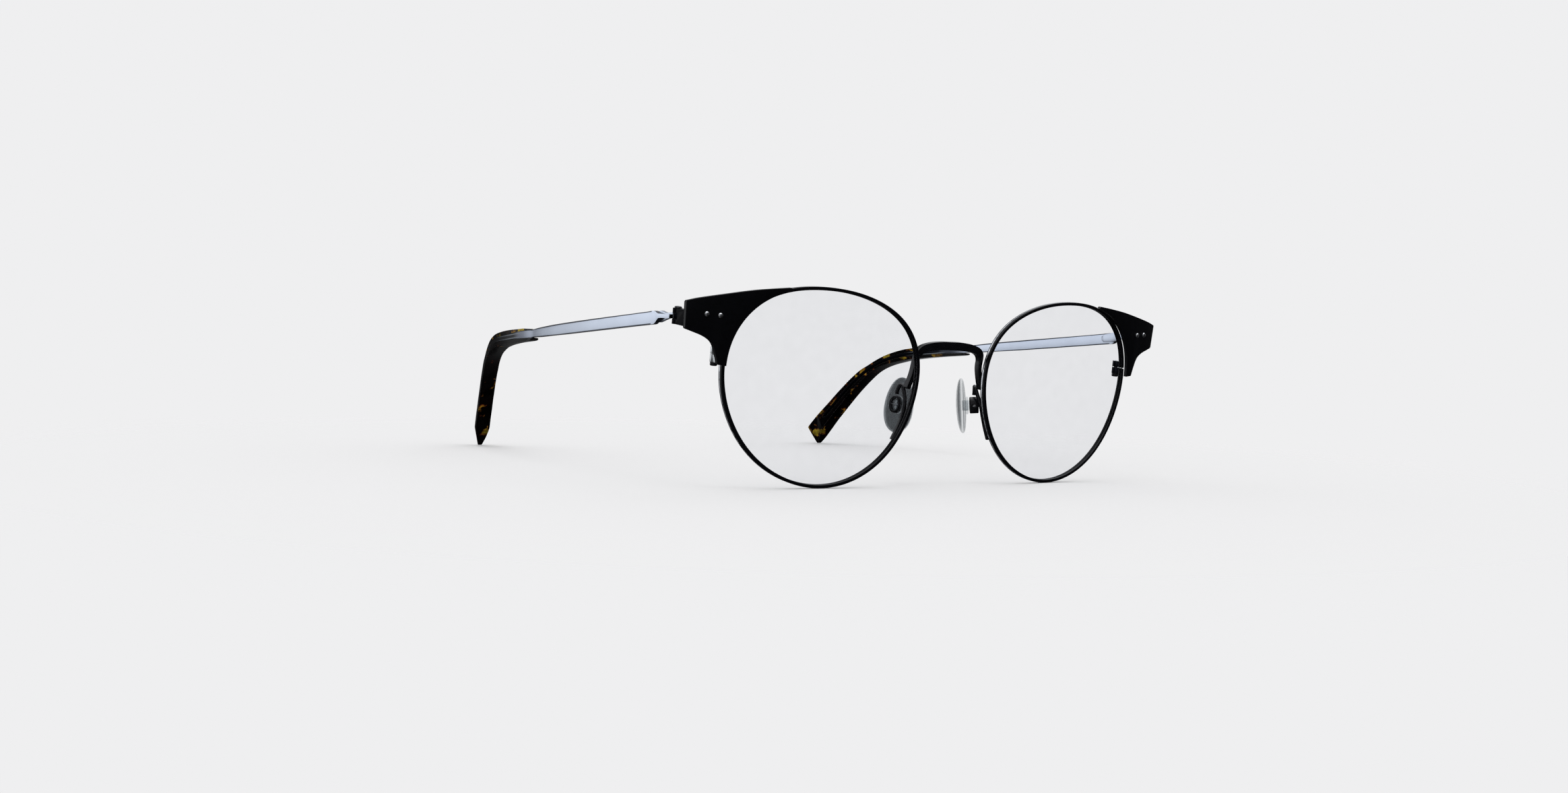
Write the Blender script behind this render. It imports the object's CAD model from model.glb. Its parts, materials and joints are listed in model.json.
# Visual model of the eyeglasses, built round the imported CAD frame.
import json
import math
import bpy
import bmesh
import numpy as np
from mathutils import Vector, Matrix


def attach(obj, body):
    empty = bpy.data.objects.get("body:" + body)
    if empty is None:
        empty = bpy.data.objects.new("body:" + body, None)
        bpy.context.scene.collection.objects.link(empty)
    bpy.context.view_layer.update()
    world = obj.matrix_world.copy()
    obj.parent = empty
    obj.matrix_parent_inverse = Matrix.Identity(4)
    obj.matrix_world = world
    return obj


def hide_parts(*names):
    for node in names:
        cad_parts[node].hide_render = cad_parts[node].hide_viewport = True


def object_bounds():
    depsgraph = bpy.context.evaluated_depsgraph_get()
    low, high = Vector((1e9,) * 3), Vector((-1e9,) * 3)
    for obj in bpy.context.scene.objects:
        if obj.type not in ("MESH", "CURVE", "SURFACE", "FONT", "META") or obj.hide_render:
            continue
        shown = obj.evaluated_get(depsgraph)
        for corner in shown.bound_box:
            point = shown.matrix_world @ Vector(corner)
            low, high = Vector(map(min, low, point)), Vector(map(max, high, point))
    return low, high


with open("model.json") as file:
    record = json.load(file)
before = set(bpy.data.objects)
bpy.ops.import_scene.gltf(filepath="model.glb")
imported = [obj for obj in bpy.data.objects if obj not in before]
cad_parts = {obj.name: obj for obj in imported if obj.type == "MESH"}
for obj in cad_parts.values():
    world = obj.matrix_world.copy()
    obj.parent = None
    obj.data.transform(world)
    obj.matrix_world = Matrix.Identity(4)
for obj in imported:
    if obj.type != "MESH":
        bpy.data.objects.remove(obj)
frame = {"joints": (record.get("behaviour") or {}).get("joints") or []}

CAD_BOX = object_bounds()

# ------------------------------------------------------------------ the front's own axes
# Pieces are drawn in the front's axes in millimetres (lens plane upright) and carried into the
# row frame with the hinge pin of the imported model, so they land exactly where the CAD has them.
PIN = np.array([67.8, 9.8, 12.15])
_fold = next(j for j in frame["joints"] if j["name"] == "temple_fold_left")
_ax = _fold["axis"]
PHI = math.atan2(-_ax[1], _ax[2])
_C, _S = math.cos(PHI), math.sin(PHI)
ROT = np.array([[1, 0, 0], [0, _C, -_S], [0, _S, _C]])
SHIFT = np.array(_fold["pos_m"]) * 1000 - ROT @ PIN


def to_row(v):
    return (np.asarray(v, float) @ ROT.T + SHIFT) / 1000.0


# ------------------------------------------------------------------ shared dimensions (mm)
EYE_CX, EYE_R = 31.668, 23.3
EYE_H = [(2.8342, -0.9804), (1.3807, 0.1717), (0.1346, 0.8414), (-0.1358, 0.0690), (-0.0482, 0.1037), (-0.0654, -0.0129)]
EYE_KX, EYE_KZ, EYE_WRAP = 0.00162, -0.00038, math.tan(math.radians(4.62))
WIRE_W, WIRE_D = 0.75, 1.37
PLATE_T, LEAF_T = 0.95, 0.8
RIVETS = {"inner": (61.57, 13.31), "outer": (64.53, 13.45)}
LOCK = dict(x=59.75, y=6.75, r=0.92, top=6.15, split=4.60, low=2.92, foot=2.05)
PAD_PIVOT = np.array([11.76, 4.3, -5.5])
PAD_SPLAY, PAD_FRONTAL = math.radians(35), math.radians(8)
TEMPLE_X = [(11, 68.45), (20, 69.03), (28, 69.45), (36, 69.8), (44, 70.09), (52, 70.3), (60, 70.43), (70, 70.5), (80, 70.4),
            (90, 70.05), (97, 69.6), (104, 68.8), (111, 67.5), (118, 65.8), (121.1, 64.94), (124.1, 64.11), (126.8, 63.29),
            (129.3, 62.53), (131.6, 61.79), (134, 61.06), (136.3, 60.32), (139, 59.5), (142, 58.6), (145, 57.8)]
BLADE_TOP = [(12, 13.47), (20, 12.01), (28, 10.6), (36, 9.23), (44, 7.85), (52, 6.47), (60, 5.06), (68, 3.6), (76, 2.0), (79.5, 1.2)]
BLADE_LOW = [(12, 10.44), (20, 9.1), (28, 7.74), (36, 6.37), (44, 5.0), (52, 3.64), (60, 2.3), (68, 1.01), (76, -0.3), (79.5, -0.75)]
CHISEL = 5.6
END_Y, END_Z = 138.7, -39.3        # lower corner of the tip's end
END_E = (0.5291, 0.8486)           # along the end edge, upward
CORE = [(79.5, 0.2), (84, -0.55), (90, -1.6), (97, -2.95), (103, -4.1), (108, -5.5), (112, -7.0), (117, -9.6), (121.1, -12.7),
        (124.1, -15.5), (126.8, -18.5), (129.3, -21.5), (131.6, -24.5), (134.0, -27.6), (135.3, -29.2)]
TIP_UPPER = [(81.6, 0.85), (84, 0.9), (88, 0.3), (93, -0.45), (98, -1.35), (102, -2.2), (106, -3.2), (110, -4.6), (113.6, -6.2),
             (116.9, -8.1), (119.9, -10.2), (123.14, -12.5), (126.23, -15.5), (128.92, -18.5), (131.46, -21.5), (133.9, -24.5),
             (136.4, -27.5), (138.91, -30.5), (141.0, -33.0)]
TIP_LOWER = [(137.4, -37.0), (135.7, -33.7), (133.63, -30.5), (131.48, -27.5), (129.31, -24.5), (127.09, -21.5), (124.7, -18.5),
             (122.04, -15.5), (119.02, -12.5), (116.3, -10.6), (113, -9.0), (109, -7.6), (105, -6.4), (101.5, -5.6), (97.5, -4.75),
             (93, -3.9), (88, -3.0), (84, -2.35), (80.6, -1.75), (79.5, -1.4)]


# ------------------------------------------------------------------ small maths
def smooth(a, b, t):
    s = np.clip((np.asarray(t, float) - a) / (b - a), 0, 1)
    return s * s * (3 - 2 * s)


def mix(a, b, t):
    return a + (b - a) * t


def spline(points, n, closed=False):
    """Centripetal-like Catmull-Rom through points of any dimension, n samples per whole curve."""
    p = np.asarray(points, float)
    if closed:
        p = np.vstack([p[-1], p, p[0], p[1]])
    else:
        p = np.vstack([2 * p[0] - p[1], p, 2 * p[-1] - p[-2]])
    seg = len(p) - 3
    d = np.linalg.norm(np.diff(p[1:-1], axis=0), axis=1)
    s = np.concatenate([[0], np.cumsum(d)])
    out = []
    for t in np.linspace(0, s[-1], n, endpoint=not closed):
        i = min(int(np.searchsorted(s, t, side="right") - 1), seg - 1)
        u = (t - s[i]) / max(d[i], 1e-9)
        a, b, c, e = p[i], p[i + 1], p[i + 2], p[i + 3]
        ha = np.linalg.norm(c - b)
        m1 = (c - a) / max(np.linalg.norm(b - a) + ha, 1e-9) * ha
        m2 = (e - b) / max(np.linalg.norm(e - c) + ha, 1e-9) * ha
        u2, u3 = u * u, u * u * u
        out.append((2 * u3 - 3 * u2 + 1) * b + (u3 - 2 * u2 + u) * m1 + (-2 * u3 + 3 * u2) * c + (u3 - u2) * m2)
    return np.array(out)


_TX = spline(TEMPLE_X, 240)


def temple_x(y):
    return np.interp(y, _TX[:, 0], _TX[:, 1])


def eye_edge(theta, offset):
    r, dr = EYE_R, 0.0
    for k, (c, s) in enumerate(EYE_H, 1):
        r += c * math.cos(k * theta) + s * math.sin(k * theta)
        dr += -k * c * math.sin(k * theta) + k * s * math.cos(k * theta)
    x, z = r * math.cos(theta), r * math.sin(theta)
    tx, tz = dr * math.cos(theta) - r * math.sin(theta), dr * math.sin(theta) + r * math.cos(theta)
    t = math.hypot(tx, tz)
    return x + tz / t * offset, z - tx / t * offset


def eye_depth(u, z):
    return EYE_KX * u * u + EYE_KZ * z * z + EYE_WRAP * u


def plate_depth(x, z):
    u = x - 60
    return 2.36 + 0.18793 * u + 0.00561 * u * u - 0.0183 * z - 0.27 * (1 - smooth(44, 54, x))


def plate_angle(x):
    return math.atan(0.18793 + 2 * 0.00561 * (x - 60))


# ------------------------------------------------------------------ mesh building
def bm_from(verts, faces):
    bm = bmesh.new()
    vs = [bm.verts.new(v) for v in verts]
    for f in faces:
        bm.faces.new([vs[i] for i in f])
    return bm


def grid_faces(nu, nv, close_u=False, close_v=True):
    out = []
    for i in range(nu if close_u else nu - 1):
        for j in range(nv if close_v else nv - 1):
            a, b = i * nv + j, i * nv + (j + 1) % nv
            c, d = ((i + 1) % nu) * nv + (j + 1) % nv, ((i + 1) % nu) * nv + j
            out.append((a, b, c, d))
    return out


def loft(rings, cap=True, close=False):
    """rings: list of equal-length closed loops of points."""
    n, m = len(rings), len(rings[0])
    verts = [tuple(p) for r in rings for p in r]
    faces = grid_faces(n, m, close_u=close)
    if cap and not close:
        faces.append(tuple(range(m)))
        faces.append(tuple((n - 1) * m + k for k in reversed(range(m))))
    return bm_from(verts, faces)


def lathe(profile, n, matrix=None):
    """profile: (r, h) pairs from axis to axis, turned about +Z."""
    verts, rows = [], []
    for r, h in profile:
        if r < 1e-9:
            rows.append([len(verts)])
            verts.append((0, 0, h))
        else:
            rows.append(list(range(len(verts), len(verts) + n)))
            verts += [(r * math.cos(2 * math.pi * k / n), r * math.sin(2 * math.pi * k / n), h) for k in range(n)]
    faces = []
    for a, b in zip(rows[:-1], rows[1:]):
        for k in range(n):
            k2 = (k + 1) % n
            if len(a) == 1 and len(b) == 1:
                continue
            if len(a) == 1:
                faces.append((a[0], b[k2], b[k]))
            elif len(b) == 1:
                faces.append((a[k], a[k2], b[0]))
            else:
                faces.append((a[k], a[k2], b[k2], b[k]))
    bm = bm_from(verts, faces)
    if matrix is not None:
        bm.transform(matrix)
    return bm


def slab(outline, cuts_a, cuts_b, place, bevel=0.0, segments=3, corner_deg=28, crease=None, dark_walls=False):
    """A sheet solid: outline in (a, b), sliced at cuts_a / cuts_b, thickened in w (0..1), placed by place(a, b, w),
    with its rims rounded. Rounded faces carry the attribute edge = 1. crease = (point, normal) adds one more cut line
    that stays a sharp line on both faces."""
    bm = bmesh.new()
    keep = bm.edges.layers.float.new("keep")
    layer = bm.faces.layers.float.new("edge")
    vs = [bm.verts.new((a, b, 0)) for a, b in outline]
    bm.faces.new(vs)
    planes = [((c, 0, 0), (1, 0, 0)) for c in cuts_a] + [((0, c, 0), (0, 1, 0)) for c in cuts_b]
    if crease:
        planes.append((crease[0], crease[1]))
    for co, no in planes:
        bmesh.ops.bisect_plane(bm, geom=bm.verts[:] + bm.edges[:] + bm.faces[:], plane_co=co, plane_no=no, dist=1e-5)
    bmesh.ops.remove_doubles(bm, verts=bm.verts[:], dist=1e-4)
    out = bmesh.ops.extrude_face_region(bm, geom=bm.faces[:])
    for v in [g for g in out["geom"] if isinstance(g, bmesh.types.BMVert)]:
        v.co.z = 1.0
    is_cap = {f: max(v.co.z for v in f.verts) - min(v.co.z for v in f.verts) < 1e-6 for f in bm.faces}
    rim, walls = [], []
    for e in bm.edges:
        if len(e.link_faces) != 2:
            continue
        c = [is_cap[f] for f in e.link_faces]
        if c[0] != c[1]:
            rim.append(e)
        elif not c[0]:
            walls.append(e)
    if crease:
        p, n = Vector(crease[0]), Vector(crease[1]).normalized()
        for e in bm.edges:
            if all(abs((Vector((v.co.x, v.co.y, 0)) - p).dot(n)) < 1e-3 for v in e.verts) and all(is_cap.get(f) for f in e.link_faces):
                e[keep] = 1.0
    if dark_walls:
        for f, cap in is_cap.items():
            f[layer] = 0.0 if cap else 1.0
    for v in bm.verts:
        v.co = place(v.co.x, v.co.y, v.co.z)
    bmesh.ops.recalc_face_normals(bm, faces=bm.faces[:])
    bm.normal_update()
    if bevel > 0:
        sel = set(rim) | {e for e in walls if e.calc_face_angle(0) > math.radians(corner_deg)}
        made = bmesh.ops.bevel(bm, geom=list(sel), offset=bevel, offset_type="OFFSET", segments=segments, profile=0.5,
                               affect="EDGES", clamp_overlap=True, miter_outer="SHARP", miter_inner="SHARP")
        for f in made["faces"]:
            f[layer] = 1.0
    return bm


def union(bms, name="tmp", op="UNION", tools=()):
    """Exact booleans of bmesh solids; returns a bmesh."""
    objs = []
    for k, bm in enumerate(list(bms) + list(tools)):
        me = bpy.data.meshes.new(f"{name}{k}")
        bmesh.ops.recalc_face_normals(bm, faces=bm.faces[:])
        bm.to_mesh(me)
        bm.free()
        ob = bpy.data.objects.new(f"{name}{k}", me)
        bpy.context.scene.collection.objects.link(ob)
        objs.append(ob)
    base = objs[0]
    n = len(list(bms))
    for k, o in enumerate(objs[1:], 1):
        m = base.modifiers.new(f"b{k}", "BOOLEAN")
        m.operation = "UNION" if k < n else "DIFFERENCE"
        m.solver = "EXACT"
        m.object = o
    dg = bpy.context.evaluated_depsgraph_get()
    dg.update()
    me = bpy.data.meshes.new_from_object(base.evaluated_get(dg))
    out = bmesh.new()
    out.from_mesh(me)
    for o in objs:
        d = o.data
        bpy.data.objects.remove(o)
        bpy.data.meshes.remove(d)
    bpy.data.meshes.remove(me)
    bmesh.ops.remove_doubles(out, verts=out.verts[:], dist=2e-4)
    bmesh.ops.dissolve_degenerate(out, edges=out.edges[:], dist=1e-4)
    return out


def box_bm(x0, x1, y0, y1, z0, z1):
    v = [(x, y, z) for x in (x0, x1) for y in (y0, y1) for z in (z0, z1)]
    return bm_from(v, [(0, 1, 3, 2), (4, 6, 7, 5), (0, 4, 5, 1), (2, 3, 7, 6), (0, 2, 6, 4), (1, 5, 7, 3)])


def round_edges(bm, width, segments=2, angle=30):
    bm.normal_update()
    layer = bm.faces.layers.float.get("edge") or bm.faces.layers.float.new("edge")
    es = [e for e in bm.edges if len(e.link_faces) == 2 and e.calc_face_angle(0) > math.radians(angle)]
    made = bmesh.ops.bevel(bm, geom=es, offset=width, offset_type="OFFSET", segments=segments, profile=0.5, affect="EDGES", clamp_overlap=True)
    for f in made["faces"]:
        f[layer] = 1.0
    return bm


PIECES = []


def piece(bm, node, body, slot, material, mirror=False, smooth_deg=35, subdiv=0):
    """Turns a bmesh in front axes into one named object in the row frame that stands for a CAD node."""
    me = bpy.data.meshes.new(node + ".fine")
    work = bm.copy()
    bmesh.ops.recalc_face_normals(work, faces=work.faces[:])
    if mirror:
        for v in work.verts:
            v.co.x = -v.co.x
        bmesh.ops.reverse_faces(work, faces=work.faces[:])
    co = np.array([v.co for v in work.verts], float).reshape(-1, 3)
    row = to_row(co)
    # the drawing coordinates in millimetres, kept for the materials
    la = work.verts.layers.float_vector.new("draw_mm")
    ln = work.verts.layers.float_vector.new("draw_n")
    work.normal_update()
    nor = [tuple(v.normal) for v in work.verts]
    flip = -1.0 if mirror else 1.0
    for v, p, q, n in zip(work.verts, row, co, nor):
        v.co = p
        v[la] = (abs(q[0]), q[1], q[2])
        v[ln] = (n[0] * flip, n[1], n[2])
    for f in work.faces:
        f.smooth = True
    work.to_mesh(me)
    work.free()
    me.set_sharp_from_angle(angle=math.radians(smooth_deg))
    kept = me.attributes.get("keep")
    if kept is not None:
        for e, k in zip(me.edges, kept.data):
            if k.value > 0.5:
                e.use_edge_sharp = True
    ob = bpy.data.objects.new(node + ".fine", me)
    bpy.context.scene.collection.objects.link(ob)
    me.materials.append(material)
    if subdiv:
        m = ob.modifiers.new("subdivision", "SUBSURF")
        m.levels = m.render_levels = subdiv
    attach(ob, body)
    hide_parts(node)
    PIECES.append(ob)
    return ob


def both(bm, name, body, slot, material, **kw):
    for side in ("left", "right"):
        b = body if body == "front" else f"{body}_{side}"
        piece(bm, f"{name}_{side}", b, slot, material, mirror=(side == "right"), **kw)
    bm.free()


# ------------------------------------------------------------------ materials
def new_mat(name):
    m = bpy.data.materials.new(name)
    m.use_nodes = True
    nt = m.node_tree
    nt.nodes.clear()
    out = nt.nodes.new("ShaderNodeOutputMaterial")
    return m, nt, out


def N(nt, kind, **kw):
    n = nt.nodes.new(kind)
    for k, v in kw.items():
        if k.startswith("in_"):
            key = k[3:].replace("_", " ")
            n.inputs[key].default_value = v
        else:
            setattr(n, k, v)
    return n


def coords(nt, scale=1.0, attribute="draw_mm"):
    a = N(nt, "ShaderNodeAttribute", attribute_name=attribute)
    mp = N(nt, "ShaderNodeMapping")
    mp.inputs["Scale"].default_value = (scale,) * 3 if not isinstance(scale, tuple) else scale
    nt.links.new(a.outputs["Vector"], mp.inputs["Vector"])
    return mp.outputs["Vector"]


def ramp(nt, stops, interpolation="LINEAR"):
    r = N(nt, "ShaderNodeValToRGB")
    cr = r.color_ramp
    cr.interpolation = interpolation
    while len(cr.elements) > 1:
        cr.elements.remove(cr.elements[-1])
    cr.elements[0].position, cr.elements[0].color = stops[0][0], (*stops[0][1], 1)
    for p, c in stops[1:]:
        e = cr.elements.new(p)
        e.color = (*c, 1)
    return r


def lacquer(name, base, edge_color, rough=0.25, specular=0.5, edge_gain=0.3, coat=0.0):
    """Black lacquer over steel: fine orange peel, patchy roughness, thin rims where the metal shines through."""
    m, nt, out = new_mat(name)
    L = nt.links.new
    b = N(nt, "ShaderNodeBsdfPrincipled")
    v = coords(nt, 1.0)
    n1 = N(nt, "ShaderNodeTexNoise", in_Scale=0.9, in_Detail=6.0, in_Roughness=0.6)
    n2 = N(nt, "ShaderNodeTexNoise", in_Scale=11.0, in_Detail=3.0)
    L(v, n1.inputs["Vector"]); L(v, n2.inputs["Vector"])
    tint = ramp(nt, [(0.3, tuple(c * 0.7 for c in base)), (0.7, tuple(c * 1.5 for c in base))])
    L(n1.outputs["Fac"], tint.inputs["Fac"])
    e = N(nt, "ShaderNodeAttribute", attribute_name="edge")
    wear = N(nt, "ShaderNodeMapRange")
    wear.inputs["From Min"].default_value, wear.inputs["From Max"].default_value = 0.34, 0.58
    wear.inputs["To Min"].default_value, wear.inputs["To Max"].default_value = 0.3, 1.0
    L(n1.outputs["Fac"], wear.inputs["Value"])
    em = N(nt, "ShaderNodeMath", operation="MULTIPLY")
    L(e.outputs["Fac"], em.inputs[0]); L(wear.outputs["Result"], em.inputs[1])
    eg = N(nt, "ShaderNodeMath", operation="MULTIPLY"); eg.inputs[1].default_value = edge_gain
    L(em.outputs[0], eg.inputs[0])
    mixc = N(nt, "ShaderNodeMix", data_type="RGBA")
    L(eg.outputs[0], mixc.inputs["Factor"]); L(tint.outputs["Color"], mixc.inputs["A"])
    mixc.inputs["B"].default_value = (*edge_color, 1)
    L(mixc.outputs["Result"], b.inputs["Base Color"])
    b.inputs["Specular IOR Level"].default_value = specular
    b.inputs["Coat Weight"].default_value = coat
    b.inputs["Coat Roughness"].default_value = 0.12
    rr = N(nt, "ShaderNodeMapRange")
    rr.inputs["To Min"].default_value, rr.inputs["To Max"].default_value = rough - 0.05, rough + 0.07
    L(n2.outputs["Fac"], rr.inputs["Value"]); L(rr.outputs["Result"], b.inputs["Roughness"])
    met = N(nt, "ShaderNodeMath", operation="MULTIPLY"); met.inputs[1].default_value = 1.0
    L(eg.outputs[0], met.inputs[0]); L(met.outputs[0], b.inputs["Metallic"])
    bump = N(nt, "ShaderNodeBump"); bump.inputs["Strength"].default_value = 0.04; bump.inputs["Distance"].default_value = 0.00001
    L(n2.outputs["Fac"], bump.inputs["Height"]); L(bump.outputs["Normal"], b.inputs["Normal"])
    L(b.outputs["BSDF"], out.inputs["Surface"])
    return m


def steel(name, base, rough=0.28, brush_axis=1, streak=0.12, edge_color=None, edge_mix=0.0, gradient=None, inner_black=False, band=False):
    """Satin steel: fine brushing along one axis, slow change of tone, optional dark rims and a tone change along Y."""
    m, nt, out = new_mat(name)
    L = nt.links.new
    b = N(nt, "ShaderNodeBsdfPrincipled")
    b.inputs["Metallic"].default_value = 1.0
    sc = [9.0, 9.0, 9.0]
    sc[brush_axis] = 0.35
    v = coords(nt, tuple(sc))
    n1 = N(nt, "ShaderNodeTexNoise", in_Scale=2.2, in_Detail=5.0, in_Roughness=0.65)
    L(v, n1.inputs["Vector"])
    v2 = coords(nt, 0.18)
    n2 = N(nt, "ShaderNodeTexNoise", in_Scale=1.0, in_Detail=2.0)
    L(v2, n2.inputs["Vector"])
    tint = ramp(nt, [(0.25, tuple(c * (1 - streak) for c in base)), (0.75, tuple(min(1, c * (1 + streak * 0.6)) for c in base))])
    L(n1.outputs["Fac"], tint.inputs["Fac"])
    col = tint.outputs["Color"]
    if gradient:
        a = N(nt, "ShaderNodeAttribute", attribute_name="draw_mm")
        sep = N(nt, "ShaderNodeSeparateXYZ")
        L(a.outputs["Vector"], sep.inputs[0])
        mr = N(nt, "ShaderNodeMapRange")
        mr.inputs["From Min"].default_value, mr.inputs["From Max"].default_value = gradient[0], gradient[1]
        L(sep.outputs["Y"], mr.inputs["Value"])
        gr = ramp(nt, gradient[2])
        L(mr.outputs["Result"], gr.inputs["Fac"])
        mul = N(nt, "ShaderNodeMix", data_type="RGBA", blend_type="MULTIPLY")
        mul.inputs["Factor"].default_value = 1.0
        L(col, mul.inputs["A"]); L(gr.outputs["Color"], mul.inputs["B"])
        col = mul.outputs["Result"]
    if band:
        # the blade's polished face ends in a dark line along both long edges
        def M(op, a, b):
            q = N(nt, "ShaderNodeMath", operation=op)
            for k, x in enumerate((a, b)):
                if isinstance(x, (int, float)):
                    q.inputs[k].default_value = x
                else:
                    L(x, q.inputs[k])
            return q.outputs[0]

        def S(x, lo, hi):
            q = N(nt, "ShaderNodeMapRange", interpolation_type="SMOOTHSTEP")
            q.inputs["From Min"].default_value, q.inputs["From Max"].default_value = lo, hi
            L(x, q.inputs["Value"])
            return q.outputs["Result"]
        pa = N(nt, "ShaderNodeAttribute", attribute_name="draw_mm")
        ps = N(nt, "ShaderNodeSeparateXYZ")
        L(pa.outputs["Vector"], ps.inputs[0])
        y, z = ps.outputs["Y"], ps.outputs["Z"]
        middle = M("SUBTRACT", 11.955, M("MULTIPLY", M("SUBTRACT", y, 12.0), 0.17378))
        half = M("MINIMUM", M("SUBTRACT", 1.515, M("MULTIPLY", M("SUBTRACT", y, 12.0), 0.0028)), M("SUBTRACT", 1.40, M("MULTIPLY", M("SUBTRACT", y, 62.0), 0.0165)))
        away = M("SUBTRACT", half, M("ABSOLUTE", M("SUBTRACT", z, middle), 0.0))
        line = M("MULTIPLY", S(away, 0.34, 0.20), M("MULTIPLY", S(y, 18.4, 19.0), S(y, 80.5, 79.0)))
        mb = N(nt, "ShaderNodeMix", data_type="RGBA")
        L(M("MULTIPLY", line, 0.93), mb.inputs["Factor"]); L(col, mb.inputs["A"]); mb.inputs["B"].default_value = (0.012, 0.014, 0.022, 1)
        col = mb.outputs["Result"]
        # inside the tip the strip's two long edges catch the light, up to the middle of the bend
        centre = M("SUBTRACT", -0.55, M("MULTIPLY", M("SUBTRACT", y, 84.0), 0.187))
        off = M("ABSOLUTE", M("SUBTRACT", z, centre), 0.0)
        glint = M("MULTIPLY", M("MULTIPLY", S(off, 0.32, 0.42), S(off, 0.66, 0.56)), M("MULTIPLY", S(y, 86.0, 92.0), S(y, 106.0, 100.0)))
        mg = N(nt, "ShaderNodeMix", data_type="RGBA")
        L(M("MULTIPLY", glint, 0.9), mg.inputs["Factor"]); L(col, mg.inputs["A"]); mg.inputs["B"].default_value = (0.34, 0.38, 0.42, 1)
        col = mg.outputs["Result"]
    if edge_color is not None:
        e = N(nt, "ShaderNodeAttribute", attribute_name="edge")
        mixc = N(nt, "ShaderNodeMix", data_type="RGBA")
        f = N(nt, "ShaderNodeMath", operation="MULTIPLY"); f.inputs[1].default_value = edge_mix
        L(e.outputs["Fac"], f.inputs[0]); L(f.outputs[0], mixc.inputs["Factor"])
        L(col, mixc.inputs["A"]); mixc.inputs["B"].default_value = (*edge_color, 1)
        col = mixc.outputs["Result"]
    if inner_black:
        nm = N(nt, "ShaderNodeAttribute", attribute_name="draw_n")
        sp = N(nt, "ShaderNodeSeparateXYZ")
        L(nm.outputs["Vector"], sp.inputs[0])
        m3 = N(nt, "ShaderNodeMapRange")
        m3.inputs["From Min"].default_value, m3.inputs["From Max"].default_value = 0.05, -0.25
        L(sp.outputs["X"], m3.inputs["Value"])
        mx = N(nt, "ShaderNodeMix", data_type="RGBA")
        L(m3.outputs["Result"], mx.inputs["Factor"]); L(col, mx.inputs["A"]); mx.inputs["B"].default_value = (0.018, 0.020, 0.028, 1)
        col = mx.outputs["Result"]
    L(col, b.inputs["Base Color"])
    rr = N(nt, "ShaderNodeMapRange")
    rr.inputs["To Min"].default_value, rr.inputs["To Max"].default_value = rough - 0.04, rough + 0.06
    L(n2.outputs["Fac"], rr.inputs["Value"]); L(rr.outputs["Result"], b.inputs["Roughness"])
    bump = N(nt, "ShaderNodeBump"); bump.inputs["Strength"].default_value = 0.03; bump.inputs["Distance"].default_value = 0.000004
    L(n1.outputs["Fac"], bump.inputs["Height"]); L(bump.outputs["Normal"], b.inputs["Normal"])
    L(b.outputs["BSDF"], out.inputs["Surface"])
    return m


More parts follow.
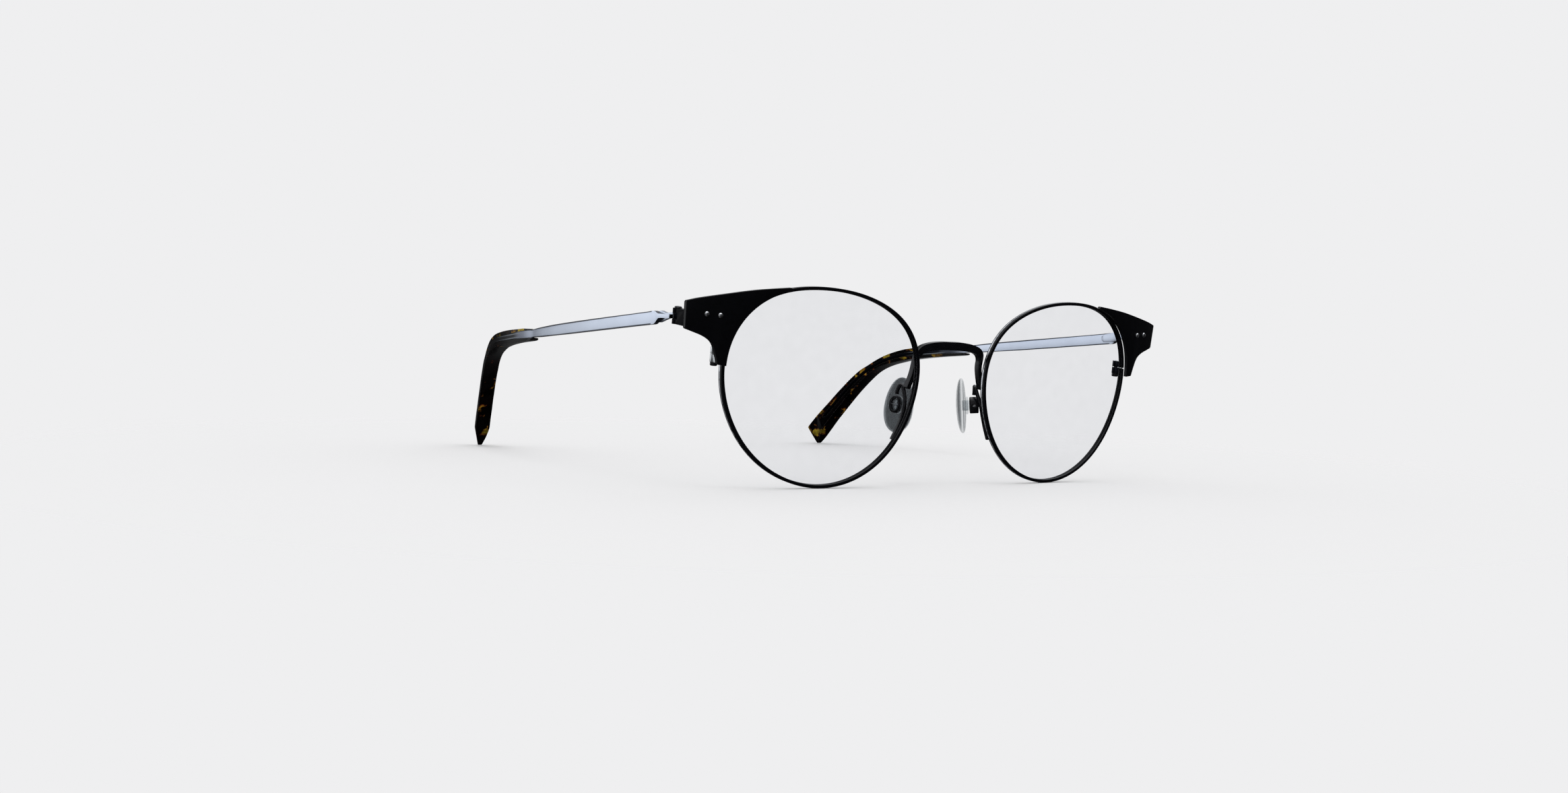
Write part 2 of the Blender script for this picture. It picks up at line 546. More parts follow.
def tortoise(name):
    """Polished dark tortoiseshell acetate: near-black brown ground with small amber, olive-yellow and rust patches."""
    m, nt, out = new_mat(name)
    L = nt.links.new
    b = N(nt, "ShaderNodeBsdfPrincipled")
    v = coords(nt, (0.22, 0.19, 0.22))
    warpn = N(nt, "ShaderNodeTexNoise", in_Scale=2.4, in_Detail=2.0)
    L(v, warpn.inputs["Vector"])
    addv = N(nt, "ShaderNodeMix", data_type="VECTOR"); addv.inputs["Factor"].default_value = 0.30
    L(v, addv.inputs["A"]); L(warpn.outputs["Color"], addv.inputs["B"])
    n1 = N(nt, "ShaderNodeTexNoise", in_Scale=2.4, in_Detail=2.0, in_Roughness=0.5)
    L(addv.outputs["Result"], n1.inputs["Vector"])

    def M(op, a, b=None):
        q = N(nt, "ShaderNodeMath", operation=op)
        for k, x in enumerate((a, b)):
            if isinstance(x, (int, float)):
                q.inputs[k].default_value = x
            elif x is not None:
                L(x, q.inputs[k])
        return q.outputs[0]

    def S(x, lo, hi):
        q = N(nt, "ShaderNodeMapRange", interpolation_type="SMOOTHSTEP")
        q.inputs["From Min"].default_value, q.inputs["From Max"].default_value = lo, hi
        L(x, q.inputs["Value"])
        return q.outputs["Result"]
    pa = N(nt, "ShaderNodeAttribute", attribute_name="draw_mm")
    ps = N(nt, "ShaderNodeSeparateXYZ"); L(pa.outputs["Vector"], ps.inputs[0])
    na = N(nt, "ShaderNodeAttribute", attribute_name="draw_n")
    ns = N(nt, "ShaderNodeSeparateXYZ"); L(na.outputs["Vector"], ns.inputs[0])
    # how far a point lies above the middle line of the straight part, the sheet being mottled along its upper half
    across = M("ADD", M("MULTIPLY", M("SUBTRACT", ps.outputs["Y"], 121.1), 0.756), M("MULTIPLY", M("ADD", ps.outputs["Z"], 12.7), 0.655))
    upper = M("MAXIMUM", S(across, -0.5, 0.5), S(ps.outputs["Z"], -15.0, -11.0))
    inner = S(ns.outputs["X"], 0.3, -0.3)
    end_patch = M("MULTIPLY", S(ps.outputs["Z"], -32.5, -35.5), inner)
    above_strip = M("ADD", M("ADD", ps.outputs["Z"], 0.55), M("MULTIPLY", M("SUBTRACT", ps.outputs["Y"], 84.0), 0.187))
    amount = M("MAXIMUM", M("MULTIPLY", upper, M("MAXIMUM", inner, S(above_strip, 0.1, 0.6))), end_patch)
    level = M("ADD", M("ADD", n1.outputs["Fac"], M("MULTIPLY", M("SUBTRACT", amount, 1.0), 0.12)), M("MULTIPLY", end_patch, 0.07))
    r = ramp(nt, [(0.0, (0.0010, 0.0009, 0.0012)), (0.515, (0.0016, 0.0010, 0.0011)), (0.545, (0.045, 0.012, 0.005)), (0.57, (0.13, 0.065, 0.008)),
                  (0.60, (0.29, 0.20, 0.014)), (0.74, (0.38, 0.30, 0.035))])
    L(level, r.inputs["Fac"])
    n3 = N(nt, "ShaderNodeTexNoise", in_Scale=1.6, in_Detail=2.0)
    v3 = coords(nt, (0.14, 0.12, 0.12))
    L(v3, n3.inputs["Vector"])
    dark = ramp(nt, [(0.40, (0.05, 0.05, 0.05)), (0.55, (1, 1, 1))])
    L(n3.outputs["Fac"], dark.inputs["Fac"])
    rust = ramp(nt, [(0.34, (1.1, 0.62, 0.7)), (0.50, (1, 1, 1))])
    n4 = N(nt, "ShaderNodeTexNoise", in_Scale=0.5, in_Detail=1.0)
    L(v, n4.inputs["Vector"]); L(n4.outputs["Fac"], rust.inputs["Fac"])
    mul = N(nt, "ShaderNodeMix", data_type="RGBA", blend_type="MULTIPLY"); mul.inputs["Factor"].default_value = 0.85
    L(r.outputs["Color"], mul.inputs["A"]); L(dark.outputs["Color"], mul.inputs["B"])
    mul2 = N(nt, "ShaderNodeMix", data_type="RGBA", blend_type="MULTIPLY"); mul2.inputs["Factor"].default_value = 1.0
    L(mul.outputs["Result"], mul2.inputs["A"]); L(rust.outputs["Color"], mul2.inputs["B"])
    rim = N(nt, "ShaderNodeAttribute", attribute_name="edge")
    rimf = N(nt, "ShaderNodeMath", operation="MULTIPLY"); rimf.inputs[1].default_value = 0.75
    L(rim.outputs["Fac"], rimf.inputs[0])
    mul3 = N(nt, "ShaderNodeMix", data_type="RGBA"); mul3.inputs["B"].default_value = (0.085, 0.080, 0.085, 1)
    L(rimf.outputs[0], mul3.inputs["Factor"]); L(mul2.outputs["Result"], mul3.inputs["A"])
    L(mul3.outputs["Result"], b.inputs["Base Color"])
    b.inputs["Roughness"].default_value = 0.16
    ea = N(nt, "ShaderNodeAttribute", attribute_name="edge")
    sp = N(nt, "ShaderNodeMapRange")
    sp.inputs["To Min"].default_value, sp.inputs["To Max"].default_value = 0.08, 0.9
    L(ea.outputs["Fac"], sp.inputs["Value"]); L(sp.outputs["Result"], b.inputs["Specular IOR Level"])
    b.inputs["Coat Weight"].default_value = 0.0
    b.inputs["Coat Roughness"].default_value = 0.05
    fine = N(nt, "ShaderNodeTexNoise", in_Scale=5.0, in_Detail=4.0)
    vf = coords(nt, 1.0)
    L(vf, fine.inputs["Vector"])
    bump = N(nt, "ShaderNodeBump"); bump.inputs["Strength"].default_value = 0.03; bump.inputs["Distance"].default_value = 0.00001
    L(fine.outputs["Fac"], bump.inputs["Height"]); L(bump.outputs["Normal"], b.inputs["Normal"])
    L(b.outputs["BSDF"], out.inputs["Surface"])
    return m


def clear(name, face, side, gloss_rough=0.02, cloud=0.0, gloss=1.0, flat=None, grazing=None):
    """Thin clear part: light passes straight through, tinted per surface, deeper or paler at grazing angles, plus
    Fresnel gloss. flat = the drawing-normal direction of the broad faces, so their tint differs from the rim's."""
    m, nt, out = new_mat(name)
    L = nt.links.new
    t = N(nt, "ShaderNodeBsdfTransparent")
    g = N(nt, "ShaderNodeBsdfGlossy"); g.inputs["Roughness"].default_value = gloss_rough
    v = coords(nt, 0.3)
    n1 = N(nt, "ShaderNodeTexNoise", in_Scale=1.2, in_Detail=3.0)
    L(v, n1.inputs["Vector"])
    mixc = N(nt, "ShaderNodeMix", data_type="RGBA")
    mixc.inputs["A"].default_value, mixc.inputs["B"].default_value = (*side, 1), (*face, 1)
    if flat is not None:
        nm = N(nt, "ShaderNodeAttribute", attribute_name="draw_n")
        dt = N(nt, "ShaderNodeVectorMath", operation="DOT_PRODUCT"); dt.inputs[1].default_value = tuple(flat)
        L(nm.outputs["Vector"], dt.inputs[0])
        ab = N(nt, "ShaderNodeMath", operation="ABSOLUTE"); L(dt.outputs["Value"], ab.inputs[0])
        mr = N(nt, "ShaderNodeMapRange", interpolation_type="SMOOTHSTEP")
        mr.inputs["From Min"].default_value, mr.inputs["From Max"].default_value = 0.60, 0.86
        L(ab.outputs[0], mr.inputs["Value"])
        lw = N(nt, "ShaderNodeLayerWeight"); lw.inputs["Blend"].default_value = 0.5
        fc = N(nt, "ShaderNodeMapRange", interpolation_type="SMOOTHSTEP")
        fc.inputs["From Min"].default_value, fc.inputs["From Max"].default_value = 0.85, 0.45
        L(lw.outputs["Facing"], fc.inputs["Value"])
        mu = N(nt, "ShaderNodeMath", operation="MULTIPLY")
        L(mr.outputs["Result"], mu.inputs[0]); L(fc.outputs["Result"], mu.inputs[1])
        L(mu.outputs[0], mixc.inputs["Factor"])
    else:
        lw = N(nt, "ShaderNodeLayerWeight"); lw.inputs["Blend"].default_value = 0.35
        iv = N(nt, "ShaderNodeMath", operation="SUBTRACT"); iv.inputs[0].default_value = 1.0
        L(lw.outputs["Facing"], iv.inputs[1]); L(iv.outputs[0], mixc.inputs["Factor"])
    var = ramp(nt, [(0.3, (0.985, 0.985, 0.985)), (0.7, (1, 1, 1))])
    L(n1.outputs["Fac"], var.inputs["Fac"])
    mul = N(nt, "ShaderNodeMix", data_type="RGBA", blend_type="MULTIPLY"); mul.inputs["Factor"].default_value = 1.0
    L(mixc.outputs["Result"], mul.inputs["A"]); L(var.outputs["Color"], mul.inputs["B"])
    L(mul.outputs["Result"], t.inputs["Color"])
    fr = N(nt, "ShaderNodeFresnel"); fr.inputs["IOR"].default_value = 1.45
    gm = N(nt, "ShaderNodeNewGeometry")
    front = N(nt, "ShaderNodeMath", operation="SUBTRACT"); front.inputs[0].default_value = 1.0
    L(gm.outputs["Backfacing"], front.inputs[1])
    fo = N(nt, "ShaderNodeMath", operation="MULTIPLY"); fo.inputs[1].default_value = gloss
    L(fr.outputs["Fac"], fo.inputs[0])
    fg = N(nt, "ShaderNodeMath", operation="MULTIPLY")
    L(fo.outputs[0], fg.inputs[0]); L(front.outputs[0], fg.inputs[1])
    ms = N(nt, "ShaderNodeMixShader")
    L(fg.outputs[0], ms.inputs["Fac"]); L(t.outputs["BSDF"], ms.inputs[1]); L(g.outputs["BSDF"], ms.inputs[2])
    last = ms.outputs["Shader"]
    if cloud > 0:
        d = N(nt, "ShaderNodeBsdfPrincipled")
        d.inputs["Base Color"].default_value = (*side, 1)
        d.inputs["Roughness"].default_value = 0.3
        m2 = N(nt, "ShaderNodeMixShader"); m2.inputs["Fac"].default_value = cloud
        L(last, m2.inputs[1]); L(d.outputs["BSDF"], m2.inputs[2])
        last = m2.outputs["Shader"]
    L(last, out.inputs["Surface"])
    return m


PAD_FLAT = tuple(float(c) for c in (np.array([-math.cos(math.radians(35)), math.sin(math.radians(35)), 0.0])))
M_BLACK = lacquer("frame_lacquer", (0.0016, 0.0016, 0.0026), (0.40, 0.42, 0.47), rough=0.24, specular=0.40, edge_gain=0.30)
M_WIRE = lacquer("wire_lacquer", (0.0014, 0.0014, 0.0022), (0.74, 0.76, 0.80), rough=0.22, specular=0.18, edge_gain=1.0)
M_BROW = lacquer("brow_lacquer", (0.0008, 0.0008, 0.0016), (0.70, 0.71, 0.75), rough=0.30, specular=0.25, edge_gain=0.85)
M_TEMPLE = steel("temple_steel", (0.62, 0.68, 0.79), rough=0.20, brush_axis=1, streak=0.03, edge_color=(0.012, 0.014, 0.024), edge_mix=0.95,
                 gradient=(12, 135, [(0.0, (1, 1, 1)), (0.50, (0.97, 0.97, 0.97)), (0.555, (0.74, 0.74, 0.76)), (0.595, (0.26, 0.26, 0.28)),
                                     (0.615, (0.18, 0.18, 0.20)), (0.645, (0.012, 0.012, 0.016)), (1.0, (0.006, 0.006, 0.008))]), band=True)
M_LEAF = steel("hinge_leaf", (0.62, 0.68, 0.79), rough=0.22, brush_axis=1, streak=0.03, edge_color=(0.012, 0.014, 0.024), edge_mix=0.9,
               gradient=(9.8, 21.2, [(0.0, (0.012, 0.012, 0.016)), (0.14, (0.012, 0.012, 0.016)), (0.20, (0.95, 0.95, 0.95)), (1.0, (1, 1, 1))]))
M_HINGE = lacquer("hinge_lacquer", (0.0014, 0.0014, 0.0022), (0.50, 0.52, 0.56), rough=0.30, specular=0.04, edge_gain=0.70)
M_LOCK = steel("lock_steel", (0.93, 0.97, 1.0), rough=0.24, brush_axis=2, streak=0.04, edge_color=(0.03, 0.035, 0.05), edge_mix=0.7, inner_black=True)
M_RIVET = steel("rivet_steel", (0.66, 0.67, 0.69), rough=0.22, brush_axis=0, streak=0.05)
M_SCREW = lacquer("screw_dark", (0.003, 0.003, 0.005), (0.4, 0.42, 0.46), rough=0.22, specular=0.8, edge_gain=0.35)
M_ACETATE = tortoise("tortoise_acetate")
M_PAD = clear("pad_silicone", (0.22, 0.235, 0.245), (0.86, 0.87, 0.875), gloss_rough=0.12, cloud=0.05, gloss=0.7, flat=PAD_FLAT)
M_INSERT = clear("insert_clear", (0.88, 0.90, 0.91), (0.80, 0.82, 0.83), gloss_rough=0.06, cloud=0.04)
M_LENS = clear("lens_clear", (0.960, 0.963, 0.970), (0.952, 0.955, 0.962), gloss_rough=0.01, gloss=0.18)


# ------------------------------------------------------------------ eyewires and lenses
def build_eyewire():
    half, mid = WIRE_W / 2, WIRE_D / 2
    r = 0.11
    loop = []

    def arc(cx, cy, a0, a1, n=4):
        for k in range(n + 1):
            a = math.radians(mix(a0, a1, k / n))
            loop.append((cx + r * math.cos(a), cy + r * math.sin(a)))
    loop += [(-half, mid + 0.26), (-half + 0.25, mid), (-half, mid - 0.26)]
    arc(-half + r, r, 180, 270)
    arc(half - r, r, 270, 360)
    loop += [(half, 0.54 * WIRE_D), (half, 0.80 * WIRE_D)]
    arc(half - r, WIRE_D - r, 0, 90)
    arc(-half + r, WIRE_D - r, 90, 180)
    lo, hi = LOCK["split"] - 0.12, LOCK["split"] + 0.12

    def theta_at(z):
        a, b = 0.0, 0.5
        for _ in range(50):
            m = (a + b) / 2
            if eye_edge(m, 0)[1] < z:
                a = m
            else:
                b = m
        return a
    t0, t1 = theta_at(hi), theta_at(lo) + 2 * math.pi
    rings = []
    n = 300
    for i in range(n + 1):
        th = mix(t0, t1, i / n)
        ring = []
        for rho, h in loop:
            u, z = eye_edge(th, rho)
            ring.append((EYE_CX + u, h + eye_depth(u, z), z))
        rings.append(ring)
    bm = loft(rings)
    layer = bm.faces.layers.float.new("edge")
    # the outer wall carries thinner lacquer than the front: faces whose middle lies on the outer side of the wire
    centre = Vector((EYE_CX, 0, 0))
    bm.normal_update()
    for f in bm.faces:
        out_dir = f.calc_center_median() - centre
        out_dir.y = 0
        c = f.calc_center_median()
        h = c.y - eye_depth(c.x - EYE_CX, c.z)
        if f.normal.dot(out_dir.normalized()) > 0.8 and 0.54 * WIRE_D < h < 0.80 * WIRE_D:
            f[layer] = 1.0
    return bm


def build_lens():
    half, mid = WIRE_W / 2, WIRE_D / 2
    n, bevel, t = 220, 0.15, 1.1
    y0, y1 = mid - t / 2, mid + t / 2
    s_rows = [0.0, 0.12, 0.24, 0.36, 0.48, 0.6, 0.7, 0.8, 0.88, 0.95, 0.99]
    edge = -half - 0.06
    verts, rows = [], []

    def dome(u, z, q):
        return eye_depth(u, z) - 1.1 * (1 - q * q)

    def ring(q, off, y):
        base = len(verts)
        for k in range(n):
            th = 2 * math.pi * k / n
            eu, ez = eye_edge(th, off)
            u, z = eu * q, ez * q
            verts.append((EYE_CX + u, y + dome(u, z, q), z))
        return list(range(base, base + n))
    verts.append((EYE_CX, y0 - 1.1, 0.0)); c0 = 0
    rows = [ring(s, edge, y0) for s in s_rows[1:]]
    rows.append(ring(1.0, edge - 0.05, y0))
    rows.append(ring(1.0, edge, y0 + 0.05))
    rows.append(ring(1.0, edge, mid - 0.2))
    rows.append(ring(1.0, -half + bevel - 0.02, mid - 0.02))
    rows.append(ring(1.0, -half + bevel - 0.02, mid + 0.02))
    rows.append(ring(1.0, edge, mid + 0.2))
    rows.append(ring(1.0, edge, y1 - 0.05))
    rows.append(ring(1.0, edge - 0.05, y1))
    rows += [ring(s, edge, y1) for s in reversed(s_rows[1:])]
    verts.append((EYE_CX, y1 - 1.1, 0.0)); c1 = len(verts) - 1
    faces = []
    for k in range(n):
        k2 = (k + 1) % n
        faces.append((c0, rows[0][k2], rows[0][k]))
        for a, b in zip(rows[:-1], rows[1:]):
            faces.append((a[k], a[k2], b[k2], b[k]))
        faces.append((rows[-1][k], rows[-1][k2], c1))
    return bm_from(verts, faces)


# ------------------------------------------------------------------ brow plates
def plate_outline():
    inner = []
    for i in range(61):
        th = math.radians(mix(5.4, 56.2, i / 60))
        u, z = eye_edge(th, 0.05)
        inner.append((EYE_CX + u, z))
    top = [tuple(p) for p in spline([(45.75, 20.17), (49.8, 19.72), (54.55, 19.08), (60.5, 17.95), (66.3, 16.72), (68.85, 15.98)], 40)]
    side = [(69.02, 15.75), (68.82, 10.25), (68.6, 9.98)]
    low = [tuple(p) for p in spline([(68.3, 9.9), (66.6, 9.35), (64.8, 8.72), (63.3, 7.85), (62.55, 6.9), (61.95, 5.4), (61.5, 3.9), (61.25, 2.95)], 44)]
    return inner + [(45.35, 19.75)] + top + side + low + [(61.05, 2.78)]


def build_plate():
    cuts = [46 + 0.8 * k for k in range(29)]

    def place(a, b, w):
        return Vector((a, plate_depth(a, b) + w * PLATE_T, b))
    return slab(plate_outline(), cuts, [], place, bevel=0.15, segments=3)


def on_plate(x, z, y_off=0.0):
    """Matrix that turns +Z into the plate's outward (front) normal at x, z."""
    a = plate_angle(x)
    normal = Vector((math.sin(a), -math.cos(a), 0))
    side = Vector((math.cos(a), math.sin(a), 0))
    up = side.cross(normal) * -1
    m = Matrix(((side.x, up.x, normal.x, x), (side.y, up.y, normal.y, plate_depth(x, z)), (side.z, up.z, normal.z, z), (0, 0, 0, 1)))
    return m


def build_rivet(key):
    x, z = RIVETS[key]
    tail = PLATE_T + LEAF_T + 0.1
    r = 0.6
    prof = [(0, -tail - 0.36), (0.30, -tail - 0.35), (0.42, -tail - 0.28), (0.5, -tail - 0.14), (0.52, -tail - 0.06), (0.32, -tail - 0.06), (0.32, 0.03), (r - 0.02, 0.03), (r, 0.055)]
    for k in range(1, 13):
        a = math.pi / 2 * k / 12
        prof.append((r * math.cos(a) if k < 12 else 0.0, 0.055 + 0.42 * math.sin(a)))
    return lathe(prof, 40, on_plate(x, z))


def build_front_hinge():
    near = PLATE_T + 0.05
    outline = [tuple(p) for p in spline([(60.3, 12.4), (60.5, 11.8), (61.1, 11.45), (63.5, 11.3), (66.0, 11.15), (68.35, 10.9)], 24)]
    outline += [(68.35, 14.4)] + [tuple(p) for p in spline([(68.0, 14.55), (66.0, 15.15), (63.5, 15.12), (61.1, 14.95), (60.5, 14.6), (60.3, 14.0)], 24)]

    def place(a, b, w):
        return Vector((a, plate_depth(a, b) + near + w * LEAF_T, b))
    leaf = slab(outline, [60.5 + 0.6 * k for k in range(14)], [], place, bevel=0.0)
    z0, z1 = PIN[2] - 1.7, PIN[2] + 1.7
    foot = plate_depth(67.7, 12) + near + 0.35
    block = box_bm(PIN[0] - 0.95, PIN[0] + 0.85, foot, PIN[1], z0, z1)
    barrel = lathe([(0, z0), (1.15, z0), (1.15, z1), (0, z1)], 64, Matrix.Translation((PIN[0], PIN[1], 0)))
    gap = 0.66
    room = box_bm(PIN[0] - 3, PIN[0] + 3, PIN[1] - 1.27, PIN[1] + 3, PIN[2] - gap, PIN[2] + gap)
    hole = lathe([(0, z0 - 1), (0.56, z0 - 1), (0.56, z1 + 1), (0, z1 + 1)], 48, Matrix.Translation((PIN[0], PIN[1], 0)))
    bm = union([leaf, block, barrel], "hinge", tools=[room, hole])
    return round_edges(bm, 0.07, 2)


def build_hinge_screw():
    z0, z1 = -1.75, 1.75
    prof = [(0, z0), (0.42, z0), (0.5, z0 + 0.1), (0.5, z1), (0.78, z1), (0.82, z1 + 0.04), (0.82, z1 + 0.18), (0.76, z1 + 0.28), (0.6, z1 + 0.36), (0.3, z1 + 0.41), (0, z1 + 0.42)]
    head = lathe(prof, 48, Matrix.Translation(PIN.tolist()))
    slot = box_bm(PIN[0] - 1, PIN[0] + 1, PIN[1] - 0.1, PIN[1] + 0.1, PIN[2] + z1 + 0.24, PIN[2] + z1 + 1)
    return round_edges(union([head], "screw", tools=[slot]), 0.02, 1, 50)


def build_lock(upper):
    z0, z1 = (LOCK["split"] + 0.08, LOCK["top"]) if upper else (LOCK["low"], LOCK["split"] - 0.08)
    at = Matrix.Translation((LOCK["x"], LOCK["y"], 0))
    barrel = lathe([(0, z0), (LOCK["r"], z0), (LOCK["r"], z1), (0, z1)], 56, at)
    web = box_bm(LOCK["x"] - 0.72, LOCK["x"] + 0.55, 4.98, LOCK["y"], z0, z1)
    hole = lathe([(0, z0 - 1), (0.5, z0 - 1), (0.5, z1 + 1), (0, z1 + 1)], 40, at)
    return round_edges(union([barrel, web], "lock", tools=[hole]), 0.06, 2)


def build_lock_screw():
    f, l = LOCK["foot"], LOCK["low"]
    at = Matrix.Translation((LOCK["x"], LOCK["y"], 0))
    body = lathe([(0, f), (0.62, f + 0.02), (0.76, f + 0.1), (0.82, f + 0.22), (0.82, l - 0.05), (0.44, l - 0.05), (0.44, LOCK["top"] - 0.25), (0.3, LOCK["top"] - 0.17), (0, LOCK["top"] - 0.15)], 48, at)
    slot = box_bm(LOCK["x"] - 1, LOCK["x"] + 1, LOCK["y"] - 0.1, LOCK["y"] + 0.1, f - 1, f + 0.24)
    return round_edges(union([body], "lscrew", tools=[slot]), 0.02, 1, 50)


# ------------------------------------------------------------------ temples
def strip_outline(half_height, n=80):
    path = spline(CORE, n + 1)
    d = np.gradient(path, axis=0)
    d /= np.linalg.norm(d, axis=1)[:, None]
    up, lo = [], []
    for p, t in zip(path, d):
        h = half_height(p[0])
        up.append((p[0] - t[1] * h, p[1] + t[0] * h))
        lo.append((p[0] + t[1] * h, p[1] - t[0] * h))
    return up, lo


def core_half(y):
    return mix(0.95, 0.5, float(smooth(80, 108, y)))


def build_blade():
    up, lo = strip_outline(core_half)
    top = [tuple(p) for p in spline([p for p in BLADE_TOP if 19 < p[0] < 79.6], 60)][:-1]
    low = [tuple(p) for p in spline([p for p in BLADE_LOW if 19 < p[0] < 79.6], 60)][:-1][::-1]
    neck_up = [tuple(p) for p in spline([(11.35, 12.33), (13.0, 12.17), (14.6, 12.05), (16.0, 12.0)], 8)] + \
              [tuple(p) for p in spline([(16.6, 12.12), (17.6, 12.4), (18.6, 12.3)], 6)]
    neck_lo = [tuple(p) for p in spline([(18.6, 9.32), (17.9, 9.45), (17.2, 9.75), (16.5, 10.45), (15.9, 11.0)], 10)] + \
              [tuple(p) for p in spline([(15.2, 11.13), (14.6, 11.2), (13.0, 11.33), (11.35, 11.47)], 8)]
    outline = neck_up + top + up + [(135.9, -29.95)] + lo[::-1] + low + neck_lo

    def place(a, b, w):
        t = mix(1.0, tip_thickness(a) - 0.06, float(smooth(79, 90, a)))
        return Vector((float(temple_x(a)) + (w - 0.5) * t, a, b))
    cuts = [12 + 1.6 * k for k in range(78)]
    return slab(outline, cuts, [], place, bevel=0.40, segments=3, dark_walls=True)


def build_temple_hinge():
    knuckle = lathe([(0, PIN[2] - 0.6), (1.1, PIN[2] - 0.6), (1.1, PIN[2] + 0.6), (0, PIN[2] + 0.6)], 56, Matrix.Translation((PIN[0], PIN[1], 0)))
    outline = [(PIN[1], PIN[2] + 0.58), (12.0, PIN[2] + 0.55), (14.5, 12.35), (16.6, 12.6), (20.5, 11.6), (21.2, 11.0), (21.0, 10.0),
               (20.2, 9.6), (17.0, 10.0), (14.2, 11.05), (12.2, PIN[2] - 0.58), (PIN[1], PIN[2] - 0.58)]

    def place(a, b, w):
        outer = float(temple_x(a)) - 0.5 - 0.05
        return Vector((outer - 0.75 * w, a, b))
    leaf = slab(outline, [10.5 + 0.8 * k for k in range(14)], [], place, bevel=0.0)
    hole = lathe([(0, PIN[2] - 3), (0.56, PIN[2] - 3), (0.56, PIN[2] + 3), (0, PIN[2] + 3)], 48, Matrix.Translation((PIN[0], PIN[1], 0)))
    return round_edges(union([knuckle, leaf], "thinge", tools=[hole]), 0.06, 2)


def tip_thickness(y):
    return mix(2.2, 4.2, float(smooth(80, 112, y)))


def build_tip():
    up, lo = strip_outline(lambda y: core_half(y) + 0.06)
    upper = [tuple(p) for p in spline(TIP_UPPER, 110)]
    lower = [tuple(p) for p in spline(TIP_LOWER, 110)]
    end = [(141.5, -33.62), (141.85, -34.05), (141.98, -34.5), (140.6, -36.75), (139.2, -38.95), (138.95, -39.2), (138.62, -39.12)]
    slot = lo[1:] + [(136.1, -30.08)] + up[::-1][:-1]
    outline = upper + end + lower + [(79.5, -1.05)] + slot + [(81.2, 0.82)]

    def place(a, b, w):
        d = -(a - END_Y) * END_E[1] + (b - END_Z) * END_E[0]
        share = min(1, max(0, ((a - END_Y) * END_E[0] + (b - END_Z) * END_E[1]) / 6))
        k = max(0, 1 - max(d, 0) / CHISEL)
        h = tip_thickness(a) / 2
        inner, outer = h - 1.9 * (1 - 0.75 * share) * k, h - 1.25 * (1 - 0.9 * share) * k
        return Vector((float(temple_x(a)) + (outer if w > 0.5 else -inner), a, b))
    cuts = [81 + 1.3 * k for k in range(47)]
    return slab(outline, cuts, [], place, bevel=0.26, segments=4,
                crease=((END_Y - END_E[1] * CHISEL, END_Z + END_E[0] * CHISEL, 0), (-END_E[1], END_E[0], 0)))


# ------------------------------------------------------------------ bridge
def build_bridge():
    top = [(0, 9.81), (2.2, 9.81), (4.2, 9.68), (5.8, 9.47), (7.2, 9.15), (8.3, 8.75), (9.2, 8.15), (9.75, 7.3), (9.95, 6.2), (10.02, 5.0), (10.1, 3.8),
           (10.3, 2.6), (10.68, 1.2), (11.08, 0.1), (11.42, -0.8)]
    low = [(10.4, -1.15), (10.15, -0.4), (9.75, 0.9), (9.4, 2.2), (9.15, 3.4), (9.0, 4.6), (8.9, 5.6), (8.6, 6.35), (8.05, 6.9), (7.2, 7.3),
           (5.8, 7.6), (4.0, 7.78), (2.0, 7.87), (0, 7.87)]
    right = [tuple(p) for p in spline([(-2.2, 9.81)] + top, 70)]
    right = [p for p in right if p[0] > 1e-3]
    foot = [(11.44, -1.05), (11.36, -1.25), (11.2, -1.38), (11.0, -1.42), (10.75, -1.41), (10.55, -1.33)]
    inner = [tuple(p) for p in spline(low + [(-2.0, 7.87)], 66)]
    inner = [p for p in inner if p[0] > 1e-3]
    half = right + foot + inner
    outline = [(0, 9.81)] + half + [(0, 7.87)] + [(-x, z) for x, z in reversed(half)]

    def place(a, b, w):
        return Vector((a, 0.45 + 1.45 * w + 0.5 * (1 - float(smooth(3.6, 7.4, b))), b))
    return slab(outline, [-10.8 + 0.6 * k for k in range(37)], [-0.6 + 0.55 * k for k in range(16)], place, bevel=0.24, segments=4, corner_deg=40)


# ------------------------------------------------------------------ nose pads
_al = np.array([math.sin(PAD_SPLAY), math.cos(PAD_SPLAY), 0])
_fl = np.array([-math.cos(PAD_SPLAY), math.sin(PAD_SPLAY), 0])
_up = np.array([0, 0, 1.0]) * math.cos(PAD_FRONTAL) + _fl * math.sin(PAD_FRONTAL)
_no = np.cross(_al, _up)
if _no @ _fl < 0:
    _no = -_no
PAD_M = np.stack([_al, _up, _no], 1)   # columns: front-to-back, up, towards the nose


def pad_space(bm):
    for v in bm.verts:
        v.co = Vector(PAD_M @ np.array(v.co) + PAD_PIVOT)
    bmesh.ops.recalc_face_normals(bm, faces=bm.faces[:])
    return bm


def oval(w, h, n=56):
    return [(w / 2 * math.cos(2 * math.pi * k / n), h / 2 * math.sin(2 * math.pi * k / n)) for k in range(n)]


def oval_prism(w, h, z0, z1, n=56, round_r=0.0):
    rings = []
    if round_r > 0:
        for k in range(4):
            a = math.pi / 2 * k / 3
            rings.append([(x * (1 - round_r * (1 - math.sin(a)) * 2 / w), y * (1 - round_r * (1 - math.sin(a)) * 2 / h), z0 + round_r * (1 - math.cos(a))) for x, y in oval(w, h, n)])
        for k in range(4):
            a = math.pi / 2 * (1 - k / 3)
            rings.append([(x * (1 - round_r * (1 - math.sin(a)) * 2 / w), y * (1 - round_r * (1 - math.sin(a)) * 2 / h), z1 - round_r * (1 - math.cos(a))) for x, y in oval(w, h, n)])
    else:
        rings = [[(x, y, z) for x, y in oval(w, h, n)] for z in (z0, z1)]
    return loft(rings)


def pin_bm(r, length, n=28):
    return lathe([(0, -length / 2), (r, -length / 2), (r, length / 2), (0, length / 2)], n, Matrix.Rotation(math.pi / 2, 4, "Y"))


